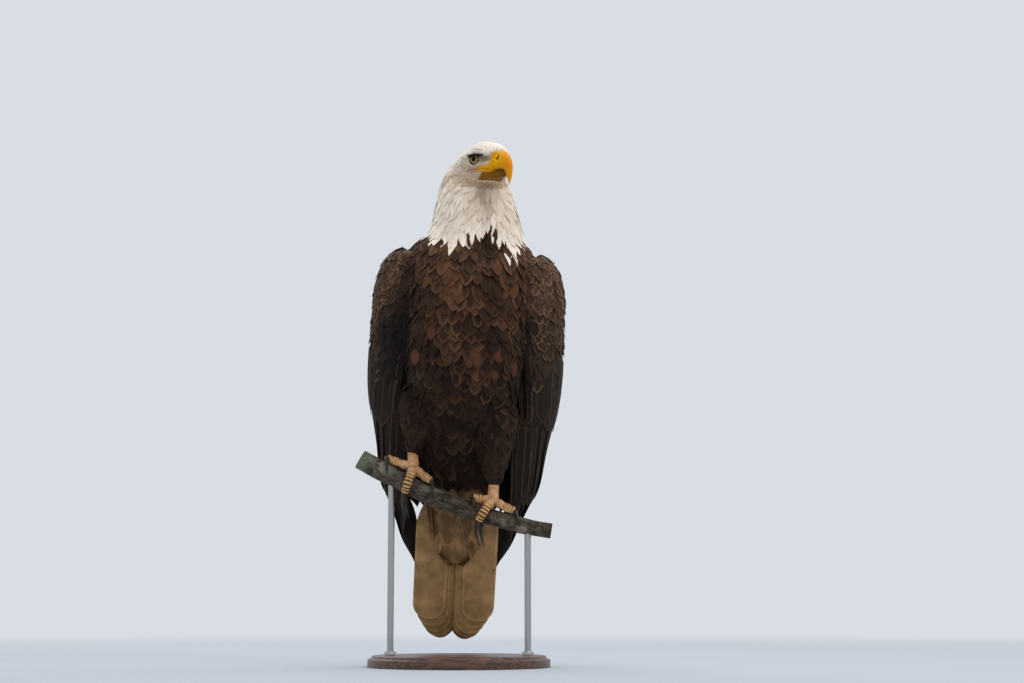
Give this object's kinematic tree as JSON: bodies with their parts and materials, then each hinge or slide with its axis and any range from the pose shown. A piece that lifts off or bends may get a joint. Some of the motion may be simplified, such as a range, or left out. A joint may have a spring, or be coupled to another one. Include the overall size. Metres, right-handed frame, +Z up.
{
  "type": "bald eagle",
  "caption": "Life-size still bald eagle, perched upright on a short cut branch over a plain display stand, head turned to its left.",
  "frame": {"origin": "centre of the stand base's flat underside", "axes": "+Z up, from the stand to the crown; the bird faces -Y and its left side is +X"},
  "size_m": [0.3239, 0.284, 0.8031],
  "materials": {
    "white_feather": "matte",
    "brown_feather": "matte",
    "wing_feather": "satin",
    "primary_feather": "satin",
    "tail_feather": "satin",
    "bill_horn": "satin",
    "cere_skin": "satin",
    "eye": "gloss",
    "foot_skin": "satin",
    "claw_horn": "gloss",
    "bark": "rough",
    "base_wood": "satin",
    "rod_steel": "brushed"
  },
  "bodies": {
    "root": {"head": "white_feather", "neck": "white_feather", "trunk": "brown_feather", "tail_coverts": "tail_feather", "tail": "tail_feather", "bill_cere": "cere_skin", "bill_upper": "bill_horn", "bill_lower": "bill_horn", "eye_right": "eye", "eye_left": "eye", "wing_right_coverts": "wing_feather", "wing_right_secondaries": "wing_feather", "wing_right_primaries": "primary_feather", "wing_left_coverts": "wing_feather", "wing_left_secondaries": "wing_feather", "wing_left_primaries": "primary_feather", "thigh_right": "brown_feather", "shank_right": "foot_skin", "toe_right_inner": "foot_skin", "claw_right_inner": "claw_horn", "toe_right_middle": "foot_skin", "claw_right_middle": "claw_horn", "toe_right_outer": "foot_skin", "claw_right_outer": "claw_horn", "toe_right_hind": "foot_skin", "claw_right_hind": "claw_horn", "thigh_left": "brown_feather", "shank_left": "foot_skin", "toe_left_inner": "foot_skin", "claw_left_inner": "claw_horn", "toe_left_middle": "foot_skin", "claw_left_middle": "claw_horn", "toe_left_outer": "foot_skin", "claw_left_outer": "claw_horn", "toe_left_hind": "foot_skin", "claw_left_hind": "claw_horn", "perch": "bark", "stand_base": "base_wood", "stand_rod_right": "rod_steel", "stand_rod_left": "rod_steel"}
  },
  "joints": []
}
